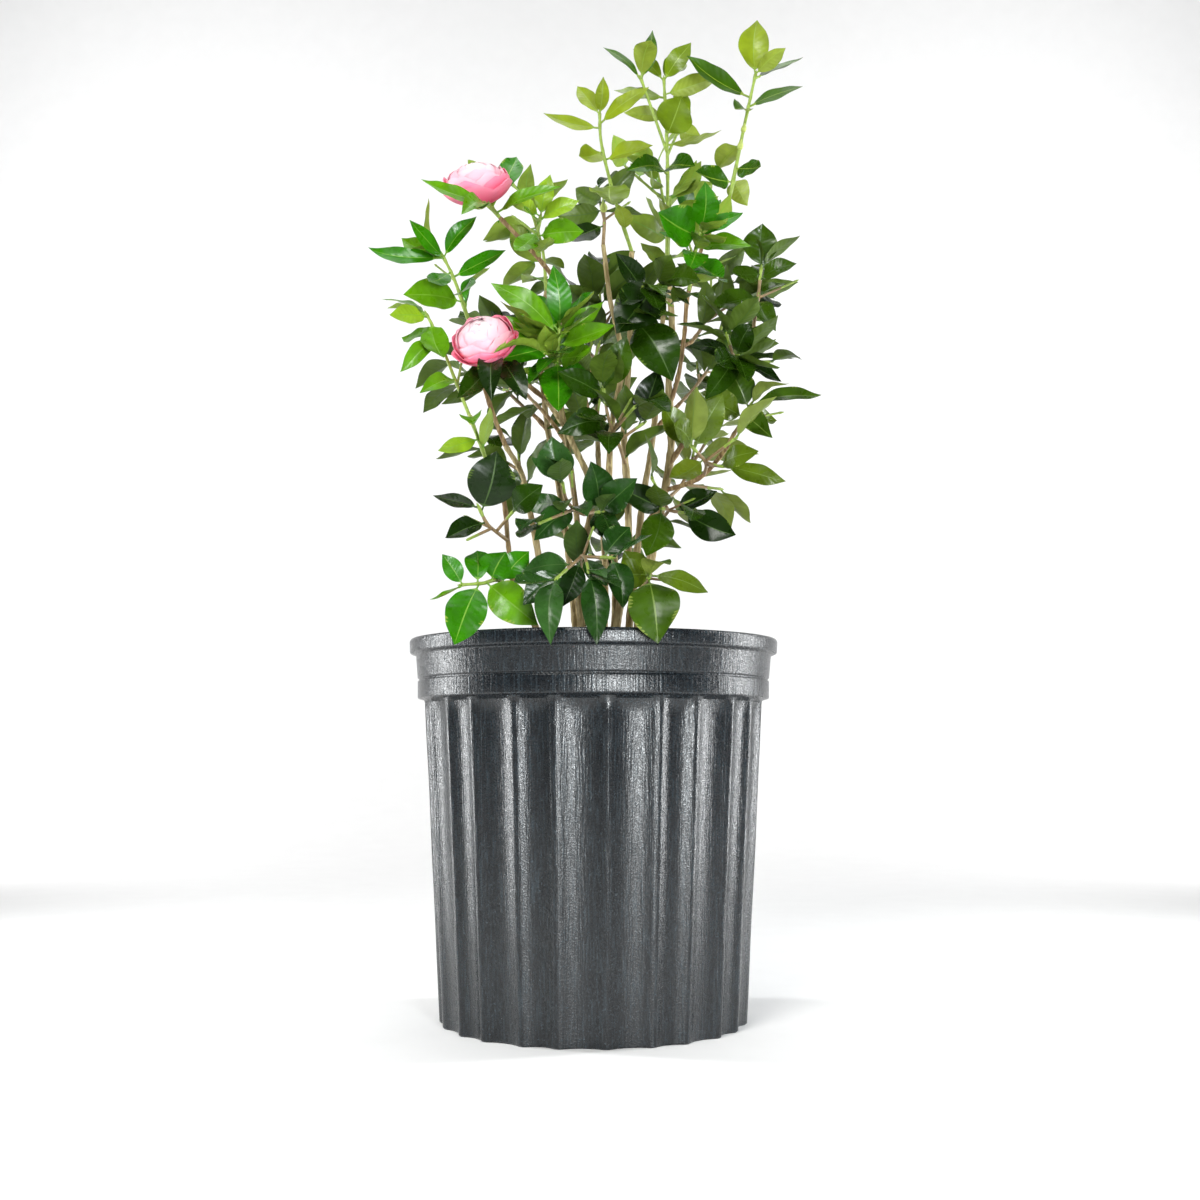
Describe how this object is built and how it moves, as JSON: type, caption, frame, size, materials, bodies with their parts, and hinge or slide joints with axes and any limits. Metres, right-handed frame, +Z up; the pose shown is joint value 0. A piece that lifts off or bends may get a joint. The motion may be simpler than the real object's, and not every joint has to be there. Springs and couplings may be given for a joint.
{
  "type": "camellia shrub in a nursery pot",
  "caption": "Evergreen flowering shrub with glossy leaves and pink double blossoms, standing in a fluted round nursery pot filled with potting mix.",
  "frame": {"origin": "centre of the pot's flat underside", "axes": "+Z up along the pot's axis, -Y towards the front"},
  "size_m": [0.373, 0.3687, 0.834],
  "materials": {
    "pot": "black blow-moulded plastic with a fine speckled sheen and upright streaks",
    "potting_mix": "dark red-brown bark and peat crumbs with white grit",
    "bark": "smooth tan-grey bark, red-brown on the younger wood",
    "leaves": "glossy leathery green leaves, yellow-green at the shoot tips, paler below",
    "blossom": "soft petals, near white at the middle and deep rose at the outside"
  },
  "bodies": {
    "root": {"pot": "pot", "potting_mix": "potting_mix", "stem_right": "bark", "stem_front": "bark", "stem_centre": "bark", "stem_bloom": "bark", "stem_left_centre": "bark", "stem_left": "bark", "stem_low_left": "bark", "stem_back_right": "bark", "stem_back_left": "bark", "stem_back": "bark", "bough_tall_right": "bark", "bough_right": "bark", "bough_low_right": "bark", "bough_side_right": "bark", "bough_side_left": "bark", "bough_left_high": "bark", "bough_left_low": "bark", "bough_upper_bloom": "bark", "bough_lower_bloom": "bark", "bough_back_right": "bark", "bough_back_low_right": "bark", "bough_back_left": "bark", "bough_back_low_left": "bark", "bough_back_low": "bark", "foliage_top": "leaves", "foliage_tall_right": "leaves", "foliage_top_left": "leaves", "foliage_upper_right": "leaves", "foliage_right": "leaves", "foliage_mid_right": "leaves", "foliage_far_right": "leaves", "foliage_low_right": "leaves", "foliage_lower_right": "leaves", "foliage_rim_right": "leaves", "foliage_side_right": "leaves", "foliage_side_left": "leaves", "foliage_upper_bloom": "leaves", "foliage_bloom_shoot": "leaves", "foliage_lower_bloom": "leaves", "foliage_left": "leaves", "foliage_left_mid": "leaves", "foliage_low_left": "leaves", "foliage_rim_left": "leaves", "foliage_rim_centre": "leaves", "foliage_front_low": "leaves", "foliage_centre_left": "leaves", "foliage_centre": "leaves", "foliage_upper_centre": "leaves", "foliage_front_mid": "leaves", "foliage_inner": "leaves", "foliage_back_top": "leaves", "foliage_back_upper_left": "leaves", "foliage_back_centre": "leaves", "foliage_back_right": "leaves", "foliage_back_low_right": "leaves", "foliage_back_left": "leaves", "foliage_back_low_left": "leaves", "foliage_back_low": "leaves"}
  },
  "joints": []
}
